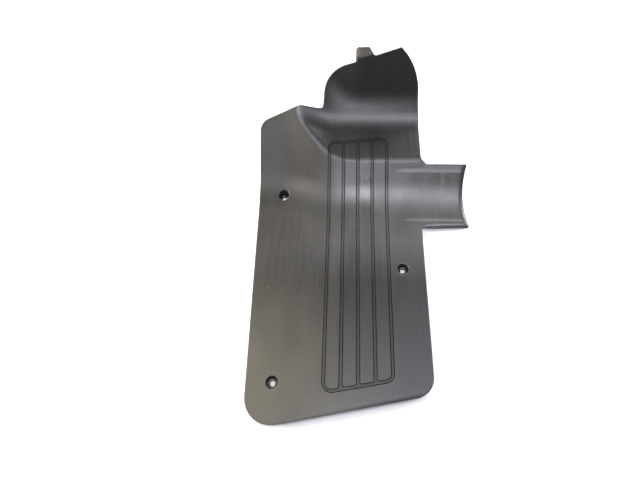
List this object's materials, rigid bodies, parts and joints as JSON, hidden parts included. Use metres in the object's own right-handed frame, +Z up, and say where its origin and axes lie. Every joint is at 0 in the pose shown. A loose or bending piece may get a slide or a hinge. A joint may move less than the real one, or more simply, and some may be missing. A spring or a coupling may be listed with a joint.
{
  "type": "footwell kick panel",
  "caption": "Moulded footwell kick panel with a strip-lined heel tread, recessed screw cups, an upswept flange with a tongue, and a side wing.",
  "frame": {"origin": "centre of the bounding box at its lowest face, which is the plane of the three boss feet", "axes": "+Z up, away from the surface the bosses stand on; +Y along the tread towards the flange; +X towards the side wing"},
  "size_m": [0.2756, 0.4498, 0.1213],
  "materials": {
    "panel_plastic": "satin black moulded plastic, lightly scuffed",
    "strip_plastic": "satin black, polished by wear",
    "ferrule_steel": "black-plated steel"
  },
  "bodies": {
    "root": {"panel_moulding": "panel_plastic", "tread_strip_1": "strip_plastic", "tread_strip_2": "strip_plastic", "tread_strip_3": "strip_plastic", "tread_strip_4": "strip_plastic", "screw_ferrule_upper_left": "ferrule_steel", "screw_ferrule_right": "ferrule_steel", "screw_ferrule_lower_left": "ferrule_steel"}
  },
  "joints": []
}
